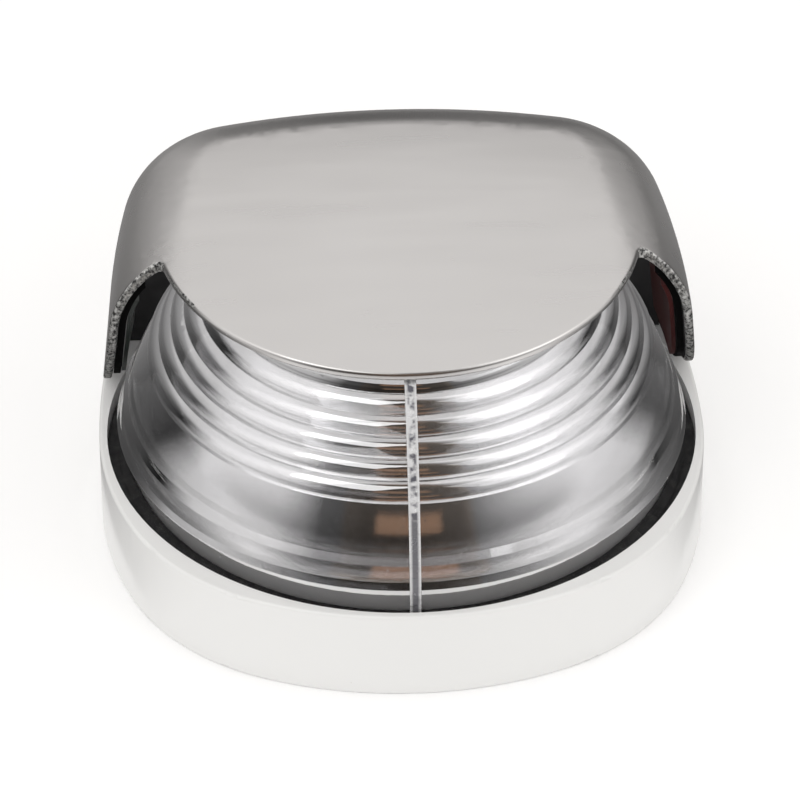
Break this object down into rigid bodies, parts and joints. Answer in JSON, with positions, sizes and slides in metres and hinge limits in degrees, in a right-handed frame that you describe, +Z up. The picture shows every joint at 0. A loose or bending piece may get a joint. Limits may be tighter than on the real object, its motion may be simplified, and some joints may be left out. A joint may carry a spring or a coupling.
{
  "type": "navigation light",
  "caption": "Bi-colour bow light: white deck tray, clear ribbed two-piece lens over a reflector, polished steel hood with a visor.",
  "frame": {"origin": "middle of the deck face, under the tray", "axes": "+Z up from the deck, -Y towards the bow, +X to port"},
  "size_m": [0.088, 0.088, 0.0474],
  "materials": {
    "tray_plastic": "gloss white moulding",
    "seal_rubber": "matt",
    "inner_plastic": "matt black",
    "contact_brass": "bright",
    "screw_steel": "bright",
    "lens_acrylic": "clear, polished",
    "hood_steel": "polished stainless steel",
    "port_red": "dark red",
    "starboard_green": "dark green",
    "reflector_chrome": "metallised",
    "pillar_aluminium": "turned",
    "board_green": "solder mask",
    "led_white": "cream package",
    "port_filter": "red, clear",
    "starboard_filter": "green, clear",
    "component_black": "matt"
  },
  "bodies": {
    "tray": {"base_tray": "tray_plastic", "deck_seal": "seal_rubber", "lens_gasket": "seal_rubber", "cable_gland": "seal_rubber", "terminal_block": "inner_plastic", "terminal_contacts": "contact_brass", "terminal_screws": "screw_steel"},
    "hood_unit": {"lens_port": "lens_acrylic", "lens_starboard": "lens_acrylic", "lens_joint": "lens_acrylic", "hood": "hood_steel", "hood_liner": "inner_plastic", "port_screen": "port_red", "starboard_screen": "starboard_green", "rear_bulkhead": "inner_plastic", "carrier_plate": "inner_plastic", "reflector_dome": "reflector_chrome", "sector_divider": "reflector_chrome", "lamp_pillar": "pillar_aluminium", "led_board": "board_green", "pillar_screws": "screw_steel", "port_leds": "led_white", "starboard_leds": "led_white", "port_light_cover": "port_filter", "starboard_light_cover": "starboard_filter", "driver_board": "board_green", "board_screws": "screw_steel", "driver_inductor": "component_black", "driver_capacitors": "pillar_aluminium", "driver_chip": "component_black"},
    "port_screw": {"cover_screw_port": "screw_steel"},
    "starboard_screw": {"cover_screw_starboard": "screw_steel"}
  },
  "joints": [
    {"name": "hood_lift", "type": "slide", "parent": "tray", "child": "hood_unit", "axis": [0, 0, 1], "range_m": [0, 0.06]},
    {"name": "port_screw_out", "type": "slide", "parent": "hood_unit", "child": "port_screw", "axis": [0, 1, 0], "range_m": [0, 0.004]},
    {"name": "starboard_screw_out", "type": "slide", "parent": "hood_unit", "child": "starboard_screw", "axis": [0, 1, 0], "range_m": [0, 0.004]}
  ]
}
